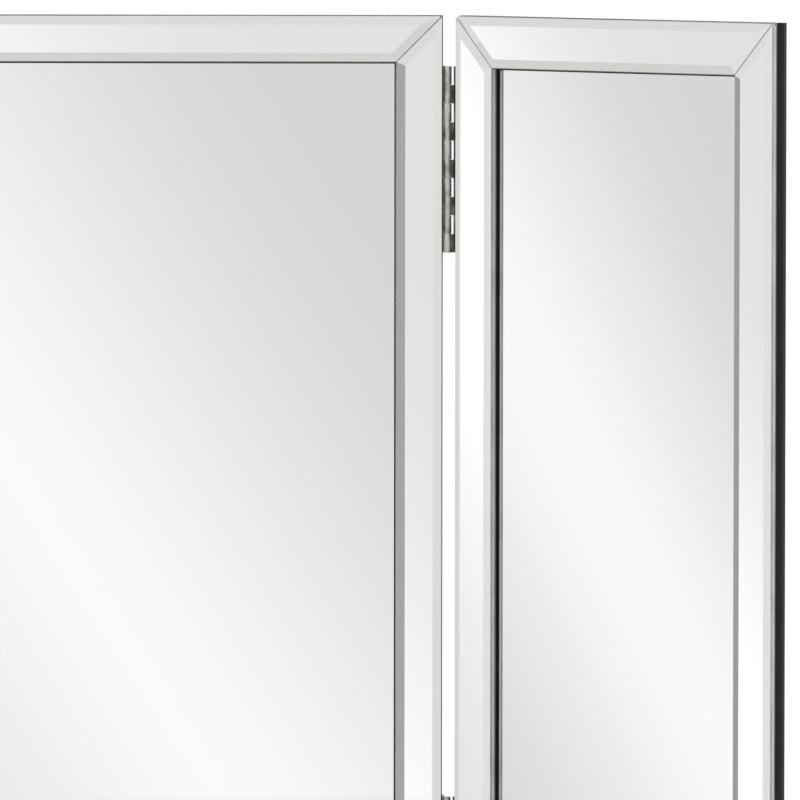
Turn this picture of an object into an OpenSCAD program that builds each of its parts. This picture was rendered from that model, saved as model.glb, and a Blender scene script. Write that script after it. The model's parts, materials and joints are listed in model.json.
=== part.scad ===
// Folding three-panel mirror: a wide centre panel with a narrower wing hinged to each side.
// Every panel is a black board frame that carries four bevelled mirror strips round a set-back pane.
// Millimetres, +Z up, the mirrors face -Y. The origin is the middle of the footprint.

/* [Panels] */
// Height of each panel, without its pads
panel_h = 695; // [500:5:1100]
// Width of the centre panel
centre_w = 606; // [420:2:900]
// Space left between the two wings when both are closed over the centre
closing_gap = 8; // [4:1:30]
// How far each wing stands forward from flat, in degrees
wing_fold = 45; // [0:1:90]

/* [Mirror strips] */
// Width of the strips round the centre panel
centre_strip_w = 31; // [22:0.5:60]
// Width of the strips round each wing
wing_strip_w = 34.5; // [22:0.5:60]
// Thickness of the strip glass
strip_t = 5; // [3:0.5:8]
// Width of the bevel along every edge of a strip
bevel_w = 6; // [3:0.5:9]
// How much thinner the glass is at the edge of its bevel
bevel_drop = 1; // [0.5:0.1:2]
// Gap between two strips where their mitres meet
mitre_gap = 0.4; // [0.2:0.1:1]
// Flat taken off each sharp outer corner of the glass
corner_nip = 1.2; // [0.5:0.1:3]

/* [Mirror panes] */
// Thickness of the pane glass
pane_t = 3; // [2:0.5:4]
// How far the pane's face lies behind the front of the rails
pane_depth = 2; // [0.5:0.1:2.5]
// Clearance round the pane and its backing sheet inside the rails
pane_clearance = 0.5; // [0.2:0.1:1]

/* [Board frame] */
// Thickness of the rails that carry the strips
rail_t = 6.5; // [6.5:0.5:12]
// Thickness of the back board
back_t = 3; // [2:0.5:6]
// How far the rails show past the outside of the strips
outer_ledge = 0.6; // [0.2:0.1:2]
// How far the rails show past the inside of the strips
inner_ledge = 0.8; // [0.5:0.1:3]

/* [Hinges] */
// Knuckles on each hinge, shared by its two leaves
knuckles = 10; // [6:2:14]
// Length of one knuckle with its end clearance
knuckle_pitch = 12.7; // [10:0.1:16]
// Clearance between one knuckle and the next
knuckle_gap = 0.2; // [0.1:0.05:0.5]
// Diameter of the hinge pin
pin_d = 3; // [2:0.1:4]
// Thickness of a leaf
leaf_t = 1.5; // [1:0.1:2]
// Radial clearance of the pin in the wing leaf's knuckles
pin_clearance = 0.05; // [0.02:0.01:0.1]
// How far the pin's axis stands in front of the strips
pin_proud = 3.2; // [3:0.1:6]
// Distance from the top or bottom of a panel to the nearer end of its hinge
hinge_inset = 34.5; // [20:0.5:80]
// How far a leaf stops short of the back of the panel
leaf_margin = 0.5; // [0:0.1:2]
// Clearance between a leaf's slots and the knuckles that turn in them
slot_clearance = 1.6; // [0.5:0.1:3]

/* [Fasteners] */
// Screws in each leaf
leaf_screws = 3; // [2:1:5]
// Shank diameter of a leaf screw
leaf_screw_d = 2.8; // [2:0.1:3.5]
// Head diameter of a leaf screw
leaf_screw_head_d = 5.4; // [4:0.1:5.6]
// Length of a leaf screw
leaf_screw_l = 12; // [8:1:16]
// Distance from the end of a leaf to its first screw
leaf_screw_end = 19.05; // [8:0.05:25]
// Shank diameter of a back board screw
back_screw_d = 2.2; // [1.6:0.1:2.8]
// Head diameter of a back board screw
back_screw_head_d = 4.4; // [3:0.1:5]
// Length of a back board screw
back_screw_l = 8; // [5:0.5:9]
// Greatest spacing of the back board screws
back_screw_spacing = 150; // [80:5:250]

/* [Pads] */
// Length of a pad
pad_l = 30; // [15:1:60]
// Thickness of a pad
pad_t = 2; // [1:0.5:4]
// Distance from the end of a panel to its pad
pad_inset = 40; // [10:1:60]
// How far a pad stops short of the front and back of the board it is stuck to
pad_margin = 0.75; // [0:0.25:2]

/* [Hidden] */
$fn = 48;
PAST = 1; // how far a cutting shape runs past what it cuts
board_t = rail_t + back_t;
panel_t = strip_t + board_t;
backing_t = rail_t - pane_depth - pane_t;
wing_w = (centre_w - closing_gap) / 2;
barrel_r = pin_d / 2 + leaf_t;
hinge_l = knuckles * knuckle_pitch;
leaf_front = barrel_r + slot_clearance;
leaf_back = pin_proud + panel_t - leaf_margin;
leaf_screw_y = pin_proud + strip_t + rail_t / 2;

// The footprint is centred on the origin, so the pins lie where its depth puts them.
wing_edge_reach = (barrel_r + wing_w - outer_ledge) * sin(wing_fold) - (pin_proud + bevel_drop) * cos(wing_fold);
front_reach = max(barrel_r, wing_edge_reach);
back_reach = pin_proud + panel_t;
pin_x = centre_w / 2 + barrel_r;
pin_y = (front_reach - back_reach) / 2;

PANELS = ["centre", "left_wing", "right_wing"];
HINGE_SIDES = ["left", "right"];
HINGE_LEVELS = ["lower", "upper"];
PANEL_PARTS = ["back_board", "backing_sheet", "pane", "back_screws", "pads"];
HINGE_PARTS = ["centre_leaf", "wing_leaf", "pin", "centre_screws", "wing_screws"];

// ---- sizes of one panel ----
// The edges run bottom, top, left, right. A wing is drawn as the right one, so its left edge is the hinged one.
function edges(panel) =
    panel == "centre" ? ["bottom", "top", "left", "right"] : ["bottom", "top", "hinge", "outer"];
function width(panel) = panel == "centre" ? centre_w : wing_w;
function strip_w(panel) = panel == "centre" ? centre_strip_w : wing_strip_w;
function rail_w(panel) = outer_ledge + strip_w(panel) + inner_ledge;
function hinged_edges(panel) = panel == "centre" ? ["left", "right"] : ["hinge"];

function hinge_z(level) = level == "lower" ? hinge_inset : panel_h - hinge_inset - hinge_l;
function leaf_screw_zs() =
    [for (i = [0:leaf_screws - 1]) leaf_screw_end + i * (hinge_l - 2 * leaf_screw_end) / (leaf_screws - 1)];

// Back board screws run round the middle line of the rails, one at every corner.
function spaced(from, to) =
    let (n = ceil((to - from) / back_screw_spacing)) [for (i = [0:n]) from + i * (to - from) / n];
function inner_of(list) = [for (i = [1:len(list) - 2]) list[i]];
function back_screw_places(panel) =
    let (
        inset = rail_w(panel) / 2,
        xs = spaced(inset, width(panel) - inset),
        zs = spaced(inset, panel_h - inset)
    )
    concat(
        [for (x = xs, z = [zs[0], zs[len(zs) - 1]]) [x, z]],
        [for (x = [xs[0], xs[len(xs) - 1]], z = inner_of(zs)) [x, z]]
    );

// ---- where things go ----
// A panel is drawn from its lower corner: x across, y back from the strips' faces, z up.
module place(panel) {
    if (panel == "centre")
        translate([-centre_w / 2, pin_y + pin_proud, pad_t]) children();
    else
        on_side(panel == "left_wing" ? "left" : "right")
            turned_wing()
                translate([barrel_r, pin_proud, pad_t]) children();
}

// A hinge is drawn for the right side, and the left one is its mirror image.
module on_side(side) {
    mirror([side == "left" ? 1 : 0, 0, 0]) translate([pin_x, pin_y, 0]) children();
}

module turned_wing() {
    rotate([0, 0, -wing_fold]) children();
}

// Turns a plan drawn in x and y, with its face at z = 0, to stand up with that face at y = 0.
module upright() {
    rotate([90, 0, 0]) children();
}

// ---- glass ----
// Takes the bevel off an edge that lies along x, where the glass is on the +y side of it.
module bevel_cut(length) {
    slope = bevel_drop / bevel_w;
    rotate([90, 0, 90])
        linear_extrude(length, center = true)
            polygon([[bevel_w, 0], [-PAST, -bevel_drop - PAST * slope], [-PAST, PAST], [bevel_w, PAST]]);
}

// One mitred strip, its outer edge centred on the origin along x and its width along +y.
module bevelled_strip(length, w) {
    half = length / 2;
    end = half - mitre_gap / sqrt(2);
    nip = corner_nip * sqrt(2);
    nip_y = (nip - (half - end)) / 2;
    right = [[half - nip, 0], [end - nip_y, nip_y], [end - w, w]];
    left = [for (i = [2:-1:0]) [-right[i][0], right[i][1]]];
    difference() {
        translate([0, 0, -strip_t]) linear_extrude(strip_t) polygon(concat(right, left));
        bevel_cut(2 * length);
        translate([0, w, 0]) rotate([0, 0, 180]) bevel_cut(2 * length);
        for (s = [-1, 1])
            translate([s * end, 0, 0]) rotate([0, 0, s * 135]) bevel_cut(4 * w);
    }
}

module strip(panel, i) {
    w = width(panel);
    in_x = outer_ledge;
    across = w - 2 * outer_ledge;
    up = panel_h - 2 * outer_ledge;
    spot = [[w / 2, in_x, 0], [w / 2, panel_h - in_x, 0], [in_x, panel_h / 2, 0], [w - in_x, panel_h / 2, 0]][i];
    turn = [0, 180, -90, 90][i];
    color("gainsboro")
        upright() translate(spot) rotate([0, 0, turn])
            bevelled_strip(i < 2 ? across : up, strip_w(panel));
}

// Fills the opening inside the rails, from a depth behind the strips' faces.
module opening_fill(panel, depth, thickness) {
    edge = rail_w(panel) + pane_clearance;
    translate([edge, depth, edge]) cube([width(panel) - 2 * edge, thickness, panel_h - 2 * edge]);
}

module pane(panel) {
    color("lightgray") opening_fill(panel, strip_t + pane_depth, pane_t);
}

module backing_sheet(panel) {
    color("tan") opening_fill(panel, strip_t + pane_depth + pane_t, backing_t);
}

// ---- board frame ----
// A countersunk screw along +x from the outside of its head, or the hole for it when it is enlarged.
module countersunk(d, head_d, length) {
    rotate([0, 90, 0]) {
        cylinder(d = d, h = length);
        cylinder(d1 = head_d, d2 = d, h = (head_d - d) / 2);
    }
}

module back_screw_set(panel) {
    for (p = back_screw_places(panel))
        translate([p[0], panel_t, p[1]]) rotate([0, 0, -90])
            countersunk(back_screw_d, back_screw_head_d, back_screw_l);
}

module back_screws(panel) {
    color("silver") back_screw_set(panel);
}

// The leaf screws of one hinge, drawn for the leaf that lies on the +x side of the pin.
module leaf_screw_set() {
    for (z = leaf_screw_zs())
        translate([barrel_r - leaf_t, leaf_screw_y, z])
            countersunk(leaf_screw_d, leaf_screw_head_d, leaf_screw_l);
}

// The leaf screws of both hinges on an edge, in the panel's own place.
module edge_screw_holes(panel) {
    at_left = [-barrel_r, -pin_proud, 0];
    for (edge = hinged_edges(panel), level = HINGE_LEVELS)
        if (edge == "right")
            translate([width(panel) + barrel_r, -pin_proud, hinge_z(level)]) mirror([1, 0, 0]) leaf_screw_set();
        else
            translate(at_left + [0, 0, hinge_z(level)]) leaf_screw_set();
}

module rail(panel, i) {
    w = width(panel);
    rw = rail_w(panel);
    corner = [[0, strip_t, 0], [0, strip_t, panel_h - rw], [0, strip_t, rw], [w - rw, strip_t, rw]][i];
    size = i < 2 ? [w, rail_t, rw] : [rw, rail_t, panel_h - 2 * rw];
    color("#1c1b1a")
        difference() {
            translate(corner) cube(size);
            back_screw_set(panel);
            edge_screw_holes(panel);
        }
}

module back_board(panel) {
    color("#242322")
        difference() {
            translate([0, strip_t + rail_t, 0]) cube([width(panel), back_t, panel_h]);
            back_screw_set(panel);
        }
}

module pads(panel) {
    color("#303030")
        for (x = [pad_inset, width(panel) - pad_inset - pad_l])
            translate([x, strip_t + pad_margin, -pad_t]) cube([pad_l, board_t - 2 * pad_margin, pad_t]);
}

// ---- hinges ----
// The knuckles count up from the bottom: the even ones are on the wing leaf, the odd ones on the centre leaf.
module each_knuckle(first) {
    for (i = [first:2:knuckles - 1])
        translate([0, 0, i * knuckle_pitch + knuckle_gap / 2]) children();
}

// A leaf that lies on the +x side of the pin, with its rolled knuckles and their fingers.
module leaf(first, bore_r) {
    knuckle_l = knuckle_pitch - knuckle_gap;
    inside_x = barrel_r - leaf_t;
    color("#7d7770")
        difference() {
            union() {
                translate([inside_x, leaf_front, 0]) cube([leaf_t, leaf_back - leaf_front, hinge_l]);
                each_knuckle(first) {
                    cylinder(r = barrel_r, h = knuckle_l);
                    translate([inside_x, 0, 0]) cube([leaf_t, leaf_front + PAST, knuckle_l]);
                }
            }
            translate([0, 0, -PAST]) cylinder(r = bore_r, h = hinge_l + 2 * PAST);
            leaf_screw_set();
        }
}

module hinge_part(part) {
    if (part == "centre_leaf") mirror([1, 0, 0]) leaf(1, pin_d / 2);
    if (part == "wing_leaf") turned_wing() leaf(0, pin_d / 2 + pin_clearance);
    if (part == "pin") color("#8d877f") cylinder(d = pin_d, h = hinge_l);
    if (part == "centre_screws") color("silver") mirror([1, 0, 0]) leaf_screw_set();
    if (part == "wing_screws") color("silver") turned_wing() leaf_screw_set();
}

// ---- what is drawn ----
for (panel = PANELS) {
    place(panel) back_board(panel);
    place(panel) backing_sheet(panel);
    place(panel) pane(panel);
    place(panel) back_screws(panel);
    place(panel) pads(panel);
    for (i = [0:3]) {
        edge = edges(panel)[i];
        place(panel) rail(panel, i);
        place(panel) strip(panel, i);
    }
}
for (side = HINGE_SIDES, level = HINGE_LEVELS, part = HINGE_PARTS)
    on_side(side) translate([0, 0, pad_t + hinge_z(level)]) hinge_part(part);
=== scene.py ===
"""The look of a folding mirror: bevelled mirror strips round three set-back panes, on black board
frames joined by nickelled butt hinges. The mirror is drawn in millimetres and placed in metres."""
import json
from math import cos, pi, radians, sin, sqrt

import bmesh
import bpy
from mathutils import Matrix, Vector

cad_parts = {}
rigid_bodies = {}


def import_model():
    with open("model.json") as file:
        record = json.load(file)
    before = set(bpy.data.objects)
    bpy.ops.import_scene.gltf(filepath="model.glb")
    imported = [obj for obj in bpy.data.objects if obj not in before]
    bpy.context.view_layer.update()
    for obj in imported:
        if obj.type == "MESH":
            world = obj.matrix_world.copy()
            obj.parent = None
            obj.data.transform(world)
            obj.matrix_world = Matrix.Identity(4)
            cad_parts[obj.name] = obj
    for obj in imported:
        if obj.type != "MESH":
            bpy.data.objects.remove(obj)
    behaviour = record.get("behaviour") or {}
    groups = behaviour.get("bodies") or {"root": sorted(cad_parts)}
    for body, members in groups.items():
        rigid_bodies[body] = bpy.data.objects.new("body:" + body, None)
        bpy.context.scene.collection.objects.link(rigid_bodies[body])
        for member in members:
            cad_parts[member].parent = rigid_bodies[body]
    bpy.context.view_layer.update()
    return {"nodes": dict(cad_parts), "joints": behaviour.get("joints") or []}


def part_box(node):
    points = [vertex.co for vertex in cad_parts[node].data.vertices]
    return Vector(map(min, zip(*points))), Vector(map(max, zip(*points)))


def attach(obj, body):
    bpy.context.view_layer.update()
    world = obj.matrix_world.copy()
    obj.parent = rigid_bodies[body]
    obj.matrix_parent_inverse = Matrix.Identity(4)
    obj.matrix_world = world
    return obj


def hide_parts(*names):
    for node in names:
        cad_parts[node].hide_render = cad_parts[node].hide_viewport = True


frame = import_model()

MM = 0.001

# ---- sizes of the mirror, in millimetres ----
FOLD = radians(45)  # how far each wing stands forward of flat
STRIP_T = 5
STRIP_W = {"centre": 31, "wing": 34.5}
WING_W = 299
BEVEL_W = 6
BEVEL_DROP = 1
MITRE_GAP = 0.4
CORNER_NIP = 1.2
SEAM_DEPTH = 2.6  # the cut edge is painted darker down to here: painted shade for the bevel that shows through the glass
OUTER_LEDGE = 0.6
INNER_LEDGE = 0.8
RAIL_T = 6.5
BACK_T = 3
PANE_T = 3
PANE_DEPTH = 2
PANE_CLEARANCE = 0.5
PIN_PROUD = 3.2
PIN_D = 3
LEAF_T = 1.5
BARREL_R = PIN_D / 2 + LEAF_T
KNUCKLES = 10
KNUCKLE_PITCH = 12.7
HINGE_L = KNUCKLES * KNUCKLE_PITCH
HINGE_INSET = 34.5
LEAF_SCREW_END = 19.05
LEAF_SCREW_HEAD_D = 5.4
LEAF_SCREW_D = 2.8
LEAF_SCREW_L = 12
BACK_SCREW_HEAD_D = 4.4
BACK_SCREW_D = 2.2
BACK_SCREW_L = 8
BACK_SCREW_SPACING = 150
LEAF_SCREWS = 3
SCREW_PITCH = 0.9
SCREW_ROOT = 0.36  # radius of the bottom of the thread, as a share of the diameter
PAD_L = 30
PAD_T = 2
PAD_INSET = 40
PAD_MARGIN = 0.75

# ---- how far sharp edges are eased, in millimetres ----
STRIP_ARRIS = 0.15
PANE_ARRIS = 0.2
RAIL_ROUND = 0.25
BOARD_ROUND = 0.4
LEAF_ROUND = 0.18
PIN_ROUND = 0.4
PAD_CORNER = 1.2
PAD_ROUND = 0.4
BROAD_FACE = 1.6  # a face wider than this is shaded flat

low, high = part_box("centre_back_board")
CENTRE_W = (high.x - low.x) / MM
PANEL_H = (high.z - low.z) / MM
PANEL_T = STRIP_T + RAIL_T + BACK_T
WIDTH = {"centre": CENTRE_W, "wing": WING_W}
PIN = Vector(next(j["pos_m"] for j in frame["joints"] if j["child"] == "right_wing")) / MM

PANELS = ("centre", "left_wing", "right_wing")
EDGES = {"centre": ("bottom", "top", "left", "right"), "wing": ("bottom", "top", "hinge", "outer")}
FACE, BEVEL, EDGE, BACK, EDGE_FRONT = range(5)  # the materials of a strip
PANE_FACE, PANE_EDGE, PANE_BACK = range(3)
RAIL_SIDE, RAIL_FRONT = range(2)


def kind(panel):
    return "centre" if panel == "centre" else "wing"


# ---- where things stand ----
def shift(x, y, z):
    return Matrix.Translation((x, y, z))


def turn(angle, axis):
    return Matrix.Rotation(angle, 4, axis)


METRES = Matrix.Scale(MM, 4)
MIRROR_X = Matrix.Scale(-1, 4, (1, 0, 0))


def on_side(side):
    """A hinge is drawn for the right side, about its pin."""
    right = shift(PIN.x, PIN.y, 0)
    return MIRROR_X @ right if side == "left" else right


def stand(panel):
    """From a panel's own lower corner, with x across, y back from the strips' faces and z up, to where it
    stands in the mirror."""
    if panel == "centre":
        return shift(-CENTRE_W / 2, PIN.y + PIN_PROUD, PAD_T)
    side = on_side("left" if panel == "left_wing" else "right")
    return side @ turn(-FOLD, "Z") @ shift(BARREL_R, PIN_PROUD, PAD_T)


# ---- shader helpers ----
def new_material(name):
    material = bpy.data.materials.new(name)
    material.use_nodes = True
    tree = material.node_tree
    return material, tree, tree.nodes["Principled BSDF"]


def add(tree, kind_of_node, **settings):
    node = tree.nodes.new(kind_of_node)
    for key, value in settings.items():
        if key in node.inputs:
            node.inputs[key].default_value = value
        else:
            setattr(node, key, value)
    return node


def noise(tree, scale, detail=3.0, stretch=(1, 1, 1), roughness=0.5):
    """A noise that keeps its place on the piece, in cycles per metre."""
    where = add(tree, "ShaderNodeTexCoord")
    mapping = add(tree, "ShaderNodeMapping")
    mapping.inputs["Scale"].default_value = stretch
    texture = add(tree, "ShaderNodeTexNoise", Scale=scale, Detail=detail, Roughness=roughness)
    tree.links.new(where.outputs["Object"], mapping.inputs["Vector"])
    tree.links.new(mapping.outputs["Vector"], texture.inputs["Vector"])
    return texture.outputs["Fac"]


def spread(tree, value, low_in, high_in, low_out, high_out):
    node = add(tree, "ShaderNodeMapRange")
    for key, number in zip(("From Min", "From Max", "To Min", "To Max"), (low_in, high_in, low_out, high_out)):
        node.inputs[key].default_value = number
    tree.links.new(value, node.inputs["Value"])
    return node.outputs["Result"]


def ramp(tree, value, *stops):
    """Colours along a value, each stop a place and a colour."""
    node = add(tree, "ShaderNodeValToRGB")
    band = node.color_ramp
    while len(band.elements) < len(stops):
        band.elements.new(1.0)
    for element, (place, colour) in zip(band.elements, stops):
        element.position = place
        element.color = (*colour, 1)
    tree.links.new(value, node.inputs["Fac"])
    return node.outputs["Color"]


def bump(tree, shader, height, strength, distance):
    node = add(tree, "ShaderNodeBump")
    node.inputs["Strength"].default_value = strength
    node.inputs["Distance"].default_value = distance
    tree.links.new(height, node.inputs["Height"])
    tree.links.new(node.outputs["Normal"], shader.inputs["Normal"])


# ---- finishes ----
def mirror_glass(name, silver, haze):
    """Silvered glass: a clean mirror with the faintest haze of polishing marks."""
    material, tree, shader = new_material(name)
    shader.inputs["Base Color"].default_value = (*silver, 1)
    shader.inputs["Metallic"].default_value = 1
    smears = noise(tree, 14, detail=6, stretch=(1, 1, 0.35))
    tree.links.new(spread(tree, smears, 0.35, 0.75, haze * 0.4, haze), shader.inputs["Roughness"])
    return material


def ground_glass_edge(name, dark, pale):
    """The cut edge of float glass, seamed with a stone: grey with a little green."""
    material, tree, shader = new_material(name)
    grind = noise(tree, 160, detail=5, stretch=(1, 1, 0.25))
    tree.links.new(ramp(tree, grind, (0.35, dark), (0.65, pale)), shader.inputs["Base Color"])
    tree.links.new(spread(tree, grind, 0.3, 0.7, 0.2, 0.36), shader.inputs["Roughness"])
    shader.inputs["Coat Weight"].default_value = 0.4
    shader.inputs["Coat Roughness"].default_value = 0.1
    return material


def mirror_backing_paint():
    """The grey paint that seals the silver on the back of each glass."""
    material, tree, shader = new_material("mirror backing paint")
    rolled = noise(tree, 260, detail=5)
    colour = ramp(tree, rolled, (0.35, (0.085, 0.088, 0.092)), (0.7, (0.13, 0.135, 0.14)))
    tree.links.new(colour, shader.inputs["Base Color"])
    shader.inputs["Roughness"].default_value = 0.55
    bump(tree, shader, rolled, 0.2, 0.0002)
    return material


def board_paint(name, depth, dust, shine, dullness, fibre):
    """Paint on board, where the fibres of the board still show a little. Its colour goes from depth to dust."""
    material, tree, shader = new_material(name)
    shader.inputs["Specular IOR Level"].default_value = shine
    cloudy = noise(tree, 9, detail=5, roughness=0.6)
    colour = ramp(tree, cloudy, (0.3, depth), (0.6, tuple(c * 1.6 for c in depth)), (0.85, dust))
    tree.links.new(colour, shader.inputs["Base Color"])
    fine = noise(tree, fibre, detail=6, stretch=(1, 1, 0.4), roughness=0.65)
    tree.links.new(spread(tree, fine, 0.3, 0.75, *dullness), shader.inputs["Roughness"])
    bump(tree, shader, fine, 0.35, 0.00012)
    return material


def brown_hardboard():
    material, tree, shader = new_material("brown hardboard")
    fibres = noise(tree, 1400, detail=6, roughness=0.7)
    colour = ramp(tree, fibres, (0.3, (0.11, 0.062, 0.033)), (0.7, (0.21, 0.13, 0.075)))
    tree.links.new(colour, shader.inputs["Base Color"])
    shader.inputs["Roughness"].default_value = 0.8
    bump(tree, shader, fibres, 0.4, 0.0001)
    return material


def aged_nickel():
    """Nickel plate gone brown with tarnish, with a painted highlight where it faces the front and painted shade on
    its sides.
    """
    material, tree, shader = new_material("aged nickel")
    tarnish = noise(tree, 150, detail=5, stretch=(1, 1, 0.5), roughness=0.55)
    where = add(tree, "ShaderNodeTexCoord")
    split = add(tree, "ShaderNodeSeparateXYZ")
    tree.links.new(where.outputs["Normal"], split.inputs["Vector"])
    # painted highlight: the colour is lifted on faces that point to the front (-y), so the sides stay dark as
    # painted shade
    painted_highlight = spread(tree, split.outputs["Y"], -0.72, -0.98, 0.0, 0.6)
    highlight_and_tarnish = add(tree, "ShaderNodeMath", operation="ADD")
    tree.links.new(painted_highlight, highlight_and_tarnish.inputs[0])
    tree.links.new(spread(tree, tarnish, 0.35, 0.68, 0.0, 0.5), highlight_and_tarnish.inputs[1])
    # the colour runs from painted shade and dark tarnish up to the painted highlight
    colour = ramp(tree, highlight_and_tarnish.outputs["Value"], (0.0, (0.05, 0.043, 0.036)), (0.4, (0.17, 0.152, 0.133)),
                  (0.85, (0.64, 0.61, 0.565)))
    tree.links.new(colour, shader.inputs["Base Color"])
    shader.inputs["Metallic"].default_value = 1
    tree.links.new(spread(tree, tarnish, 0.35, 0.7, 0.42, 0.26), shader.inputs["Roughness"])
    return material


def zinc_plate():
    material, tree, shader = new_material("zinc plate")
    mottle = noise(tree, 700, detail=4)
    colour = ramp(tree, mottle, (0.35, (0.42, 0.42, 0.41)), (0.7, (0.66, 0.65, 0.61)))
    tree.links.new(colour, shader.inputs["Base Color"])
    shader.inputs["Metallic"].default_value = 1
    tree.links.new(spread(tree, mottle, 0.3, 0.7, 0.38, 0.24), shader.inputs["Roughness"])
    return material


def grey_felt():
    material, tree, shader = new_material("grey felt")
    fuzz = noise(tree, 2600, detail=5, roughness=0.75)
    colour = ramp(tree, fuzz, (0.3, (0.018, 0.018, 0.019)), (0.7, (0.055, 0.054, 0.053)))
    tree.links.new(colour, shader.inputs["Base Color"])
    shader.inputs["Roughness"].default_value = 0.95
    shader.inputs["Sheen Weight"].default_value = 0.4
    bump(tree, shader, fuzz, 0.8, 0.0003)
    return material


STRIP_MIRROR = mirror_glass("strip mirror", (0.955, 0.955, 0.952), 0.02)
BEVEL_MIRROR = mirror_glass("bevel mirror", (0.93, 0.935, 0.92), 0.03)
PANE_MIRROR = mirror_glass("pane mirror", (0.84, 0.84, 0.84), 0.02)
GLASS_EDGE = ground_glass_edge("ground glass edge", (0.50, 0.51, 0.485), (0.64, 0.65, 0.625))
# darker cut edge next to the face: painted shade for the bevel that shows through the glass
PAINTED_SHADE_GLASS_EDGE = ground_glass_edge("ground glass edge with painted shade by the bevel", (0.27, 0.28, 0.265),
                                     (0.42, 0.43, 0.41))
GLASS_BACK = mirror_backing_paint()
# grey on the rails' front faces: painted light, for the front light falling on the ledge beside the strips
RAIL_FRONT_PAINTED_LIGHT = board_paint("rail front with painted light", (0.16, 0.158, 0.15), (0.28, 0.275, 0.265), 0.3, (0.5, 0.65), 240)
RAIL_PAINT = board_paint("black rail paint", (0.005, 0.005, 0.0047), (0.012, 0.0115, 0.011), 0.2, (0.42, 0.6), 240)
BOARD_PAINT = board_paint("black back board", (0.013, 0.0125, 0.0115), (0.034, 0.033, 0.030), 0.5, (0.42, 0.62),
                          520)
HARDBOARD = brown_hardboard()
NICKEL = aged_nickel()
ZINC = zinc_plate()
FELT = grey_felt()


# ---- making a piece ----
def is_broad(mesh, face):
    """Whether a face is too wide to blend with the narrow eased ones beside it."""
    spots = [mesh.vertices[v].co for v in face.vertices]
    rim = sum((a - b).length for a, b in zip(spots, spots[1:] + spots[:1]))
    return face.area / rim > BROAD_FACE * MM / 2


def piece(bm, name, node, body, materials, place=None, crisp=32):
    """Puts a finished mesh in place, on its body, in the stead of its CAD solid.
    Edges that turn by more than crisp degrees stay sharp."""
    if place is not None:
        bmesh.ops.transform(bm, matrix=METRES @ place, verts=bm.verts)
    bmesh.ops.recalc_face_normals(bm, faces=bm.faces)
    mesh = bpy.data.meshes.new(name)
    bm.to_mesh(mesh)
    bm.free()
    if mesh.has_custom_normals:
        mesh.attributes.remove(mesh.attributes["custom_normal"])
    mesh.polygons.foreach_set("use_smooth", [not is_broad(mesh, face) for face in mesh.polygons])
    mesh.set_sharp_from_angle(angle=radians(crisp))
    made = bpy.data.objects.new(name, mesh)
    bpy.context.scene.collection.objects.link(made)
    for material in materials:
        mesh.materials.append(material)
    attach(made, body)
    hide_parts(node)


def block(bm, size, centre):
    """A plain block, and the vertices it is made of."""
    made = bmesh.ops.create_cube(bm, size=1)["verts"]
    bmesh.ops.scale(bm, vec=size, verts=made)
    bmesh.ops.translate(bm, vec=centre, verts=made)
    return made


def pare(bm, point, facing, material):
    """Grinds away what lies beyond a plane and closes the cut."""
    everything = bm.verts[:] + bm.edges[:] + bm.faces[:]
    cut = bmesh.ops.bisect_plane(bm, geom=everything, dist=1e-5, plane_co=point, plane_no=facing, clear_outer=True)
    rim = [e for e in cut["geom_cut"] if isinstance(e, bmesh.types.BMEdge)]
    for face in bmesh.ops.contextual_create(bm, geom=rim)["faces"] if rim else ():
        face.material_index = material


def ease(bm, edges, width, steps=1):
    """Takes the sharpness off edges and returns the narrow faces that leaves."""
    made = bmesh.ops.bevel(bm, geom=edges, offset=width, offset_type="OFFSET", segments=steps, profile=0.5,
                           affect="EDGES", material=-1, clamp_overlap=True)
    return made["faces"]


def sharp_edges(bm, angle, shortest=0.0):
    return [e for e in bm.edges if e.is_manifold and e.calc_face_angle() > angle and e.calc_length() > shortest]


# ---- glass ----
def bevelled_strip(length, width):
    """One mitred strip with a bevel along every edge: its outer edge along x, its face up at z = 0."""
    bm = bmesh.new()
    block(bm, (length, width, STRIP_T), (0, width / 2, -STRIP_T / 2))
    bm.faces.ensure_lookup_table()
    for face in bm.faces:
        face.material_index = FACE if face.normal.z > 0.5 else BACK if face.normal.z < -0.5 else EDGE
    half = length / 2
    end = half - MITRE_GAP / sqrt(2)
    nip = CORNER_NIP * sqrt(2)
    for s in (-1, 1):
        pare(bm, (s * end, 0, 0), (s, 1, 0), EDGE)
        pare(bm, (s * (half - nip), 0, 0), (s, -1, 0), EDGE)
    grind = BEVEL_DROP / BEVEL_W
    pare(bm, (0, BEVEL_W, 0), (0, -grind, 1), BEVEL)
    pare(bm, (0, width - BEVEL_W, 0), (0, grind, 1), BEVEL)
    for s in (-1, 1):
        slope = grind / sqrt(2)
        pare(bm, (s * (end - BEVEL_W * sqrt(2)), 0, 0), (s * slope, slope, 1), BEVEL)
    everything = bm.verts[:] + bm.edges[:] + bm.faces[:]
    bmesh.ops.bisect_plane(bm, geom=everything, dist=1e-5, plane_co=(0, 0, -SEAM_DEPTH), plane_no=(0, 0, 1))
    bmesh.ops.recalc_face_normals(bm, faces=bm.faces)
    # the cut edge above SEAM_DEPTH takes the darker edge finish, painted shade for the bevel seen through the
    # glass
    for face in bm.faces:
        if face.material_index == EDGE and face.calc_center_median().z > -SEAM_DEPTH:
            face.material_index = EDGE_FRONT
    for face in ease(bm, sharp_edges(bm, radians(40)), STRIP_ARRIS):
        face.material_index = EDGE
    return bm


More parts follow.
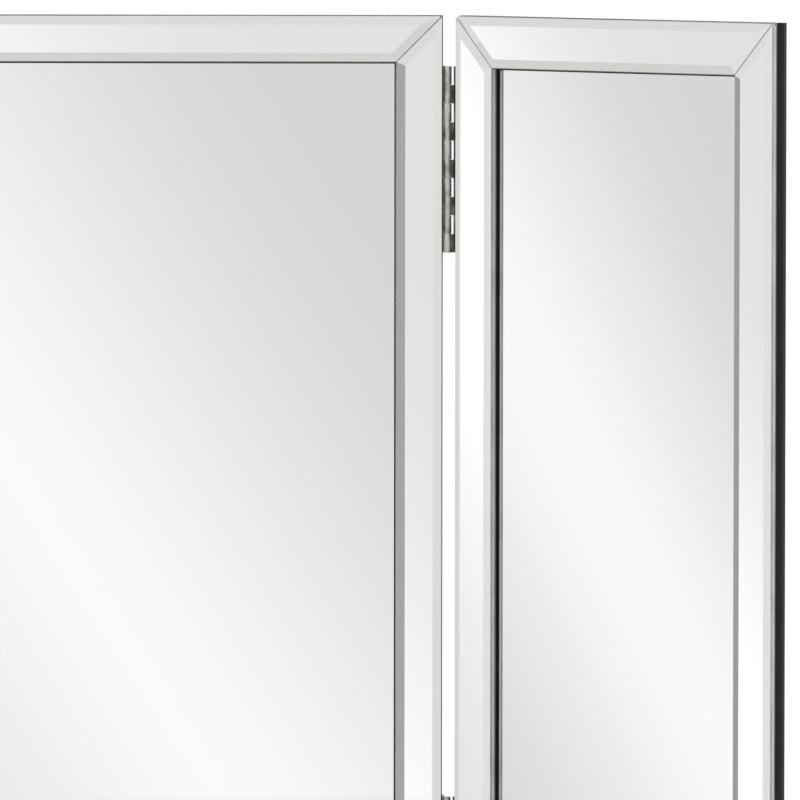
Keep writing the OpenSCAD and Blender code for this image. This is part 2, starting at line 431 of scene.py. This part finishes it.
def strip(panel, i):
    across, up = WIDTH[kind(panel)], PANEL_H
    spot = ((across / 2, OUTER_LEDGE), (across / 2, up - OUTER_LEDGE),
            (OUTER_LEDGE, up / 2), (across - OUTER_LEDGE, up / 2))[i]
    quarter = (0, 2, -1, 1)[i]
    length = (across if i < 2 else up) - 2 * OUTER_LEDGE
    bm = bevelled_strip(length, STRIP_W[kind(panel)])
    edge = EDGES[kind(panel)][i]
    place = stand(panel) @ turn(pi / 2, "X") @ shift(*spot, 0) @ turn(quarter * pi / 2, "Z")
    piece(bm, f"{panel}_{edge}_mirror_strip", f"{panel}_{edge}_strip", panel,
          (STRIP_MIRROR, BEVEL_MIRROR, GLASS_EDGE, GLASS_BACK, PAINTED_SHADE_GLASS_EDGE), place, crisp=4)


def pane(panel):
    across, up = WIDTH[kind(panel)], PANEL_H
    edge = OUTER_LEDGE + STRIP_W[kind(panel)] + INNER_LEDGE + PANE_CLEARANCE
    bm = bmesh.new()
    middle = (across / 2, STRIP_T + PANE_DEPTH + PANE_T / 2, up / 2)
    block(bm, (across - 2 * edge, PANE_T, up - 2 * edge), middle)
    for face in bm.faces:
        ahead = -face.normal.y
        face.material_index = PANE_FACE if ahead > 0.5 else PANE_BACK if ahead < -0.5 else PANE_EDGE
    for face in ease(bm, bm.edges[:], PANE_ARRIS):
        face.material_index = PANE_EDGE
    piece(bm, f"{panel}_mirror_pane", f"{panel}_pane", panel,
          (PANE_MIRROR, GLASS_EDGE, GLASS_BACK), stand(panel))


# ---- board frame ----
def eased_copy(node, width, steps, shortest):
    """A part's own solid, merged, with its long sharp edges eased."""
    bm = bmesh.new()
    bm.from_mesh(frame["nodes"][node].data)
    bmesh.ops.remove_doubles(bm, verts=bm.verts, dist=1e-6)
    bmesh.ops.scale(bm, vec=(1 / MM,) * 3, verts=bm.verts)
    bmesh.ops.dissolve_limit(bm, angle_limit=radians(0.3), verts=bm.verts, edges=bm.edges)
    ease(bm, sharp_edges(bm, radians(50), shortest), width, steps)
    return bm


def rail(panel, edge):
    """The rail is painted black, and its front faces are grey: painted light for the front light on the narrow
    ledge that shows beside the strips.
    """
    node = f"{panel}_{edge}_rail"
    bm = eased_copy(node, RAIL_ROUND, 2, 3.0)
    bm.normal_update()
    ahead = stand(panel).to_3x3() @ Vector((0, -1, 0))
    for face in bm.faces:
        face.material_index = RAIL_FRONT if face.normal.dot(ahead) > 0.7 else RAIL_SIDE
    piece(bm, f"{node}_board", node, panel, (RAIL_PAINT, RAIL_FRONT_PAINTED_LIGHT), Matrix())


def back_board(panel):
    node = f"{panel}_back_board"
    bm = eased_copy(node, BOARD_ROUND, 3, 2.9)
    piece(bm, f"{node}_panel", node, panel, (BOARD_PAINT,), Matrix())


# ---- screws ----
def countersunk_screw(d, head_d, length, name):
    """A countersunk screw with a cross recess, its head's face at z = 0 and its point down."""
    head_h = (head_d - d) / 2
    root = d * SCREW_ROOT
    bm = bmesh.new()
    outline = [(0, 0), (head_d / 2 - 0.12, 0), (head_d / 2, -0.1), (d / 2, -head_h), (d / 2, -head_h - 0.6)]
    depth = -head_h - 0.6
    while depth > -length + d:
        outline += [(root, depth - 0.15), (root, depth - 0.35), (d / 2, depth - 0.55), (d / 2, depth - 0.65)]
        depth -= SCREW_PITCH
    outline += [(root, -length + d * 0.8), (0, -length)]
    verts = [bm.verts.new((x, 0, z)) for x, z in outline]
    edges = [bm.edges.new(pair) for pair in zip(verts, verts[1:])]
    bmesh.ops.spin(bm, geom=verts + edges, cent=(0, 0, 0), axis=(0, 0, 1), angle=2 * pi, steps=20,
                   use_merge=True)
    bmesh.ops.remove_doubles(bm, verts=bm.verts, dist=1e-4)
    bmesh.ops.recalc_face_normals(bm, faces=bm.faces)
    shank = as_object(bm, name)
    bm = bmesh.new()
    for angle in (0, pi / 2):
        arm = block(bm, (head_d * 0.56, head_d * 0.13, 1.6), (0, 0, 0))
        tip = [v for v in arm if v.co.z < 0]
        bmesh.ops.scale(bm, vec=(0.35, 0.75, 1), verts=tip)
        bmesh.ops.rotate(bm, cent=(0, 0, 0), matrix=Matrix.Rotation(angle, 3, "Z"), verts=arm)
    recess = as_object(bm, name + " recess")
    cut = shank.modifiers.new("cross recess", "BOOLEAN")
    cut.object, cut.operation, cut.solver = recess, "DIFFERENCE", "EXACT"
    cut.use_self = True
    bpy.context.view_layer.update()
    cut_mesh = bpy.data.meshes.new_from_object(shank.evaluated_get(bpy.context.evaluated_depsgraph_get()))
    for spare in (shank, recess):
        bpy.data.objects.remove(spare)
    return cut_mesh


def as_object(bm, name):
    mesh = bpy.data.meshes.new(name)
    bm.to_mesh(mesh)
    bm.free()
    made = bpy.data.objects.new(name, mesh)
    bpy.context.scene.collection.objects.link(made)
    return made


def screw_group(master, places):
    """Copies of one screw, each turned its own way in its hole."""
    bm = bmesh.new()
    for i, place in enumerate(places):
        before = len(bm.verts)
        bm.from_mesh(master)
        bm.verts.ensure_lookup_table()
        bmesh.ops.transform(bm, matrix=place @ turn(i * 1.7, "Z"), verts=bm.verts[before:])
    return bm


def spaced(start, stop):
    n = -int(-(stop - start) // BACK_SCREW_SPACING)
    return [start + i * (stop - start) / n for i in range(n + 1)]


def back_screws(panel, master):
    inset = (OUTER_LEDGE + STRIP_W[kind(panel)] + INNER_LEDGE) / 2
    xs = spaced(inset, WIDTH[kind(panel)] - inset)
    zs = spaced(inset, PANEL_H - inset)
    spots = [(x, z) for x in xs for z in (zs[0], zs[-1])] + [(x, z) for x in (xs[0], xs[-1]) for z in zs[1:-1]]
    places = [shift(x, PANEL_T, z) @ turn(-pi / 2, "X") for x, z in spots]
    piece(screw_group(master, places), f"{panel}_back_board_screws", f"{panel}_back_screws", panel,
          (ZINC,), stand(panel))


def leaf_screws(side, level, on_wing, master):
    depth = PIN_PROUD + STRIP_T + RAIL_T / 2
    step = (HINGE_L - 2 * LEAF_SCREW_END) / (LEAF_SCREWS - 1)
    face_x = BARREL_R - LEAF_T
    heights = [LEAF_SCREW_END + i * step for i in range(LEAF_SCREWS)]
    places = [shift(face_x, depth, z) @ turn(-pi / 2, "Y") for z in heights]
    leaf_side = turn(-FOLD, "Z") if on_wing else MIRROR_X
    part = "wing_screws" if on_wing else "centre_screws"
    body = f"{side}_wing" if on_wing else "centre"
    piece(screw_group(master, places), f"{side}_{level}_hinge_{part}_set", f"{side}_{level}_hinge_{part}", body,
          (ZINC,), hinge_place(side, level) @ leaf_side)


# ---- hinges ----
def hinge_place(side, level):
    z = HINGE_INSET if level == "lower" else PANEL_H - HINGE_INSET - HINGE_L
    return on_side(side) @ shift(0, 0, PAD_T + z)


def hinge_leaf(side, level, part):
    node = f"{side}_{level}_hinge_{part}"
    body = f"{side}_wing" if part == "wing_leaf" else "centre"
    bm = eased_copy(node, LEAF_ROUND, 2, 0.0)
    piece(bm, f"{node}_plate", node, body, (NICKEL,), Matrix())


def hinge_pin(side, level):
    bm = bmesh.new()
    made = bmesh.ops.create_cone(bm, segments=40, radius1=PIN_D / 2, radius2=PIN_D / 2, depth=HINGE_L,
                                 cap_ends=True)
    bmesh.ops.translate(bm, vec=(0, 0, HINGE_L / 2), verts=made["verts"])
    ease(bm, sharp_edges(bm, radians(60)), PIN_ROUND, 3)
    node = f"{side}_{level}_hinge_pin"
    piece(bm, f"{node}_rod", node, "centre", (NICKEL,), hinge_place(side, level))


# ---- pads ----
def pads(panel):
    bm = bmesh.new()
    for x in (PAD_INSET, WIDTH[kind(panel)] - PAD_INSET - PAD_L):
        size = (PAD_L, RAIL_T + BACK_T - 2 * PAD_MARGIN, PAD_T)
        block(bm, size, (x + PAD_L / 2, STRIP_T + PAD_MARGIN + size[1] / 2, -PAD_T / 2))
    upright_edges = [e for e in bm.edges if abs((e.verts[0].co - e.verts[1].co).normalized().z) > 0.9]
    ease(bm, upright_edges, PAD_CORNER, 4)
    soft = [e for e in sharp_edges(bm, radians(60)) if all(v.co.z < -PAD_T + 0.01 for v in e.verts)]
    ease(bm, soft, PAD_ROUND, 2)
    piece(bm, f"{panel}_felt_pads", f"{panel}_pads", panel, (FELT,), stand(panel))


def build_mirror():
    back_screw = countersunk_screw(BACK_SCREW_D, BACK_SCREW_HEAD_D, BACK_SCREW_L, "back board screw")
    leaf_screw = countersunk_screw(LEAF_SCREW_D, LEAF_SCREW_HEAD_D, LEAF_SCREW_L, "leaf screw")
    for panel in PANELS:
        for i, edge in enumerate(EDGES[kind(panel)]):
            strip(panel, i)
            rail(panel, edge)
        pane(panel)
        back_board(panel)
        back_screws(panel, back_screw)
        pads(panel)
        for old in frame["nodes"][f"{panel}_backing_sheet"].material_slots:
            old.material = HARDBOARD
    for side in ("left", "right"):
        for level in ("lower", "upper"):
            hinge_leaf(side, level, "centre_leaf")
            hinge_leaf(side, level, "wing_leaf")
            hinge_pin(side, level)
            leaf_screws(side, level, False, leaf_screw)
            leaf_screws(side, level, True, leaf_screw)


def keep_mirrors_clear():
    """The right wing faces the left one squarely, and every bevel beside a hinge faces the hinge. The mirrors
    show the plain studio in their place."""
    for made in bpy.data.objects:
        if made.type == "MESH" and (made.name.startswith("left_") or "r_hinge_" in made.name):
            made.visible_glossy = False


# ---- studio, in metres ----
CARD_AWAY = -5.0  # the cards stand this far off, in front and to the left
FLAG_NEARER = 0.01  # a flag that covers part of a card stands this much nearer
CARD_TOP = 1.35
FRONT_SLANT, LEFT_SLANT = radians(33), radians(153)
GLOW_FROM, GLOW_TO = -0.4, 0.5
# Each card glows in one soft slanting band. A stop is a distance across the band, in metres, and the
# brightness there.
FRONT_GLOW = ((-0.39, 0.92), (-0.325, 0.992), (-0.275, 1.027), (-0.225, 1.071), (-0.175, 1.107), (-0.125, 1.141),
              (-0.075, 1.128), (-0.025, 1.092), (0.025, 1.05), (0.075, 1.006), (0.125, 0.958), (0.175, 0.913),
              (0.225, 0.872), (0.275, 0.836), (0.325, 0.811), (0.375, 0.80))
LEFT_GLOW = ((-0.3, 0.80), (-0.225, 0.82), (-0.175, 0.855), (-0.125, 0.909), (-0.075, 0.981), (-0.025, 1.056),
             (0.025, 1.119), (0.055, 1.135), (0.075, 1.127), (0.125, 1.067), (0.175, 0.993), (0.225, 0.918),
             (0.275, 0.852), (0.325, 0.81), (0.375, 0.80))


def stage_mesh(bm, name, material, only_in_mirrors=True):
    made = as_object(bm, name)
    made.data.materials.append(material)
    if only_in_mirrors:
        made.visible_camera = False
        made.visible_diffuse = False
        made.visible_shadow = False


def card(name, lowest, highest, material):
    """An upright reflector, seen only in the mirrors, between two corners in metres."""
    bm = bmesh.new()
    (x0, y0, z0), (x1, y1, z1) = lowest, highest
    made = bmesh.ops.create_grid(bm, x_segments=1, y_segments=1, size=0.5)["verts"]
    bmesh.ops.rotate(bm, cent=(0, 0, 0), matrix=Matrix.Rotation(pi / 2, 3, "X"), verts=made)
    bmesh.ops.scale(bm, vec=(x1 - x0 or y1 - y0, 1, z1 - z0), verts=made)
    if x0 == x1:
        bmesh.ops.rotate(bm, cent=(0, 0, 0), matrix=Matrix.Rotation(pi / 2, 3, "Z"), verts=made)
    bmesh.ops.translate(bm, vec=((x0 + x1) / 2, (y0 + y1) / 2, (z0 + z1) / 2), verts=made)
    stage_mesh(bm, name, material)


def glowing(name, colour=(1, 1, 1)):
    """A material that only glows, and its light."""
    material = bpy.data.materials.new(name)
    material.use_nodes = True
    tree = material.node_tree
    tree.nodes.clear()
    light = add(tree, "ShaderNodeEmission", Strength=1.0, Color=(*colour, 1))
    out = add(tree, "ShaderNodeOutputMaterial")
    tree.links.new(light.outputs["Emission"], out.inputs["Surface"])
    return material, tree, light


def slanting_band(name, across, glow):
    """A glow that changes only along one direction of the card."""
    material, tree, light = glowing(name)
    where = add(tree, "ShaderNodeTexCoord")
    along = add(tree, "ShaderNodeVectorMath", operation="DOT_PRODUCT")
    along.inputs[1].default_value = across
    tree.links.new(where.outputs["Object"], along.inputs[0])
    reach = spread(tree, along.outputs["Value"], GLOW_FROM, GLOW_TO, 0, 1)
    width = GLOW_TO - GLOW_FROM
    stops = [((u - GLOW_FROM) / width, (b * 1.004, b * 0.997, b)) for u, b in glow]
    tree.links.new(ramp(tree, reach, *stops), light.inputs["Color"])
    return material


def reflectors():
    front = slanting_band("front card", (cos(FRONT_SLANT), 0, sin(FRONT_SLANT)), FRONT_GLOW)
    card("front_card", (-1.15, CARD_AWAY, -1.2), (0.85, CARD_AWAY, CARD_TOP), front)
    left = slanting_band("left card", (0, cos(LEFT_SLANT), sin(LEFT_SLANT)), LEFT_GLOW)
    card("left_card", (CARD_AWAY, -2.6, -0.72), (CARD_AWAY, 1.4, CARD_TOP), left)
    dusk = glowing("warm grey flag", (0.43, 0.40, 0.375))[0]
    card("side_flag", (-2.1, CARD_AWAY, -0.6), (-1.15, CARD_AWAY, CARD_TOP), dusk)
    nearer = CARD_AWAY + FLAG_NEARER
    card("left_flag", (nearer, -1.65, -0.4), (nearer, -1.3, CARD_TOP), dusk)


def floor():
    """A pale round floor that fades into the background."""
    bm = bmesh.new()
    bmesh.ops.create_circle(bm, cap_ends=True, segments=128, radius=2.2)
    material, tree, shader = new_material("pale floor")
    shader.inputs["Base Color"].default_value = (0.64, 0.625, 0.60, 1)
    shader.inputs["Roughness"].default_value = 0.6
    where = add(tree, "ShaderNodeTexCoord")
    away = add(tree, "ShaderNodeVectorMath", operation="DISTANCE")
    away.inputs[1].default_value = (0.35, -0.1, 0)
    tree.links.new(where.outputs["Object"], away.inputs[0])
    fade = spread(tree, away.outputs["Value"], 1.42, 1.68, 0, 1)
    clear = add(tree, "ShaderNodeBsdfTransparent")
    blend = add(tree, "ShaderNodeMixShader")
    tree.links.new(fade, blend.inputs["Fac"])
    tree.links.new(shader.outputs["BSDF"], blend.inputs[1])
    tree.links.new(clear.outputs["BSDF"], blend.inputs[2])
    tree.links.new(blend.outputs["Shader"], tree.nodes["Material Output"].inputs["Surface"])
    stage_mesh(bm, "studio_floor", material, only_in_mirrors=False)


def room():
    """White behind the object, and a soft grey studio for the mirrors and the light."""
    world = bpy.data.worlds.new("studio")
    bpy.context.scene.world = world
    world.use_nodes = True
    tree = world.node_tree
    tree.nodes.clear()
    where = add(tree, "ShaderNodeTexCoord")
    split = add(tree, "ShaderNodeSeparateXYZ")
    tree.links.new(where.outputs["Generated"], split.inputs["Vector"])
    height = spread(tree, split.outputs["Z"], -1, 1, 0, 1)
    tone = ramp(tree, height, (0.0, (0.60, 0.60, 0.59)), (0.42, (0.70, 0.70, 0.69)), (0.5, (0.80, 0.80, 0.80)),
                (0.62, (0.74, 0.745, 0.735)), (0.8, (0.86, 0.86, 0.86)), (1.0, (1.0, 1.0, 1.0)))
    studio = add(tree, "ShaderNodeBackground")
    white = add(tree, "ShaderNodeBackground", Color=(1, 1, 1, 1), Strength=1.02)
    tree.links.new(tone, studio.inputs["Color"])
    rays = add(tree, "ShaderNodeLightPath")
    choose = add(tree, "ShaderNodeMixShader")
    out = add(tree, "ShaderNodeOutputWorld")
    tree.links.new(rays.outputs["Is Camera Ray"], choose.inputs["Fac"])
    tree.links.new(studio.outputs["Background"], choose.inputs[1])
    tree.links.new(white.outputs["Background"], choose.inputs[2])
    tree.links.new(choose.outputs["Shader"], out.inputs["Surface"])


def soft_light(name, spot, size, watts, colour=(1, 1, 1)):
    light = bpy.data.lights.new(name, "AREA")
    light.shape, light.size, light.energy, light.color = "DISK", size, watts, colour
    made = bpy.data.objects.new(name, light)
    made.location = spot
    made.rotation_euler = (Vector((0, 0, 0.35)) - Vector(spot)).to_track_quat("-Z", "Y").to_euler()
    made.visible_camera = False
    bpy.context.scene.collection.objects.link(made)


def lights():
    soft_light("key_softbox", (-1.8, -2.2, 2.9), 1.6, 26)
    soft_light("fill_softbox", (2.4, -1.6, 2.2), 1.4, 11)
    soft_light("back_softbox", (0.8, 2.6, 2.4), 1.6, 20)


def camera():
    """A long lens from a little above the mirror and to its right."""
    view = bpy.data.cameras.new("camera")
    view.sensor_width, view.lens = 36, 540
    view.clip_start, view.clip_end = 0.5, 60
    made = bpy.data.objects.new("camera", view)
    made.location = (0.3315, -8.0747, 0.8775)
    made.rotation_euler = (pi / 2 - 0.05412, -0.0013, 0.0071)
    bpy.context.scene.collection.objects.link(made)
    bpy.context.scene.camera = made


build_mirror()
keep_mirrors_clear()
room()
floor()
reflectors()
lights()
camera()
bpy.context.scene.view_settings.view_transform = "Standard"
